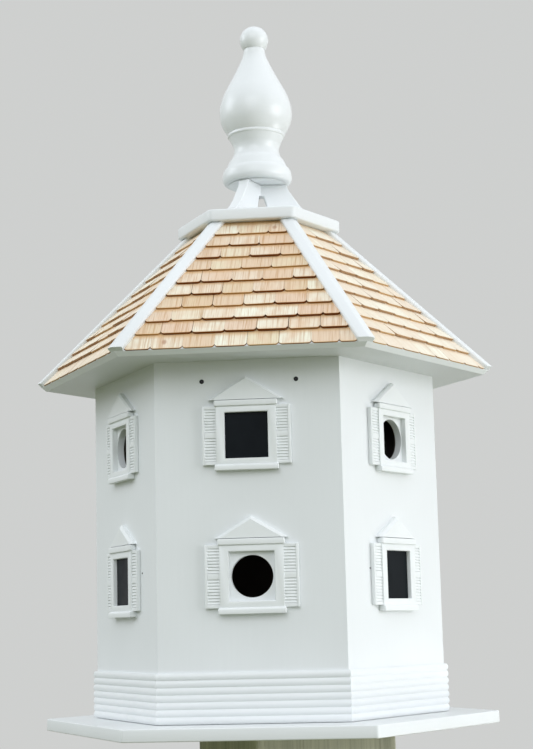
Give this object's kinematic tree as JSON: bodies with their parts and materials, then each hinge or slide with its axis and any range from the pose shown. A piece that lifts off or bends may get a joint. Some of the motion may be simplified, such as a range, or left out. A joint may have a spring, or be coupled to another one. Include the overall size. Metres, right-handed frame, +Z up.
{
  "type": "post-mounted dovecote",
  "caption": "Six-sided white painted dovecote with two rows of shuttered windows, a shingled hipped roof and a turned finial, standing on a square timber post.",
  "frame": {"origin": "on the post's flat foot at ground level, straight below the middle of the house", "axes": "+Z up; the front wall faces -Y and two corners of the hexagon lie along +X and -X"},
  "size_m": [0.4604, 0.3988, 1.9122],
  "materials": {
    "white_paint": "satin",
    "white_trim": "satin",
    "cedar": "matte",
    "bare_board": "matte",
    "dark_pane": "satin",
    "weathered_timber": "matte"
  },
  "bodies": {
    "root": {"post": "weathered_timber", "base_board": "white_paint", "wall_front": "white_paint", "wall_front_right": "white_paint", "wall_back_right": "white_paint", "wall_back": "white_paint", "wall_back_left": "white_paint", "wall_front_left": "white_paint", "skirting_front": "white_paint", "skirting_front_right": "white_paint", "skirting_back_right": "white_paint", "skirting_back": "white_paint", "skirting_back_left": "white_paint", "skirting_front_left": "white_paint", "upper_floor": "bare_board", "soffit_board": "white_paint", "roof_deck_front": "white_paint", "roof_deck_front_right": "white_paint", "roof_deck_back_right": "white_paint", "roof_deck_back": "white_paint", "roof_deck_back_left": "white_paint", "roof_deck_front_left": "white_paint", "shingles_front": "cedar", "shingles_front_right": "cedar", "shingles_back_right": "cedar", "shingles_back": "cedar", "shingles_back_left": "cedar", "shingles_front_left": "cedar", "hip_board_right": "white_paint", "hip_board_back_right": "white_paint", "hip_board_back_left": "white_paint", "hip_board_left": "white_paint", "hip_board_front_left": "white_paint", "hip_board_front_right": "white_paint", "cap_board": "white_paint", "finial_foot": "white_paint", "finial": "white_paint", "window_front_upper": "white_trim", "window_front_lower": "white_trim", "window_front_right_upper": "white_trim", "window_front_right_lower": "white_trim", "window_back_right_upper": "white_trim", "window_back_right_lower": "white_trim", "window_back_upper": "white_trim", "window_back_lower": "white_trim", "window_back_left_upper": "white_trim", "window_back_left_lower": "white_trim", "window_front_left_upper": "white_trim", "window_front_left_lower": "white_trim", "window_panes": "dark_pane"}
  },
  "joints": []
}
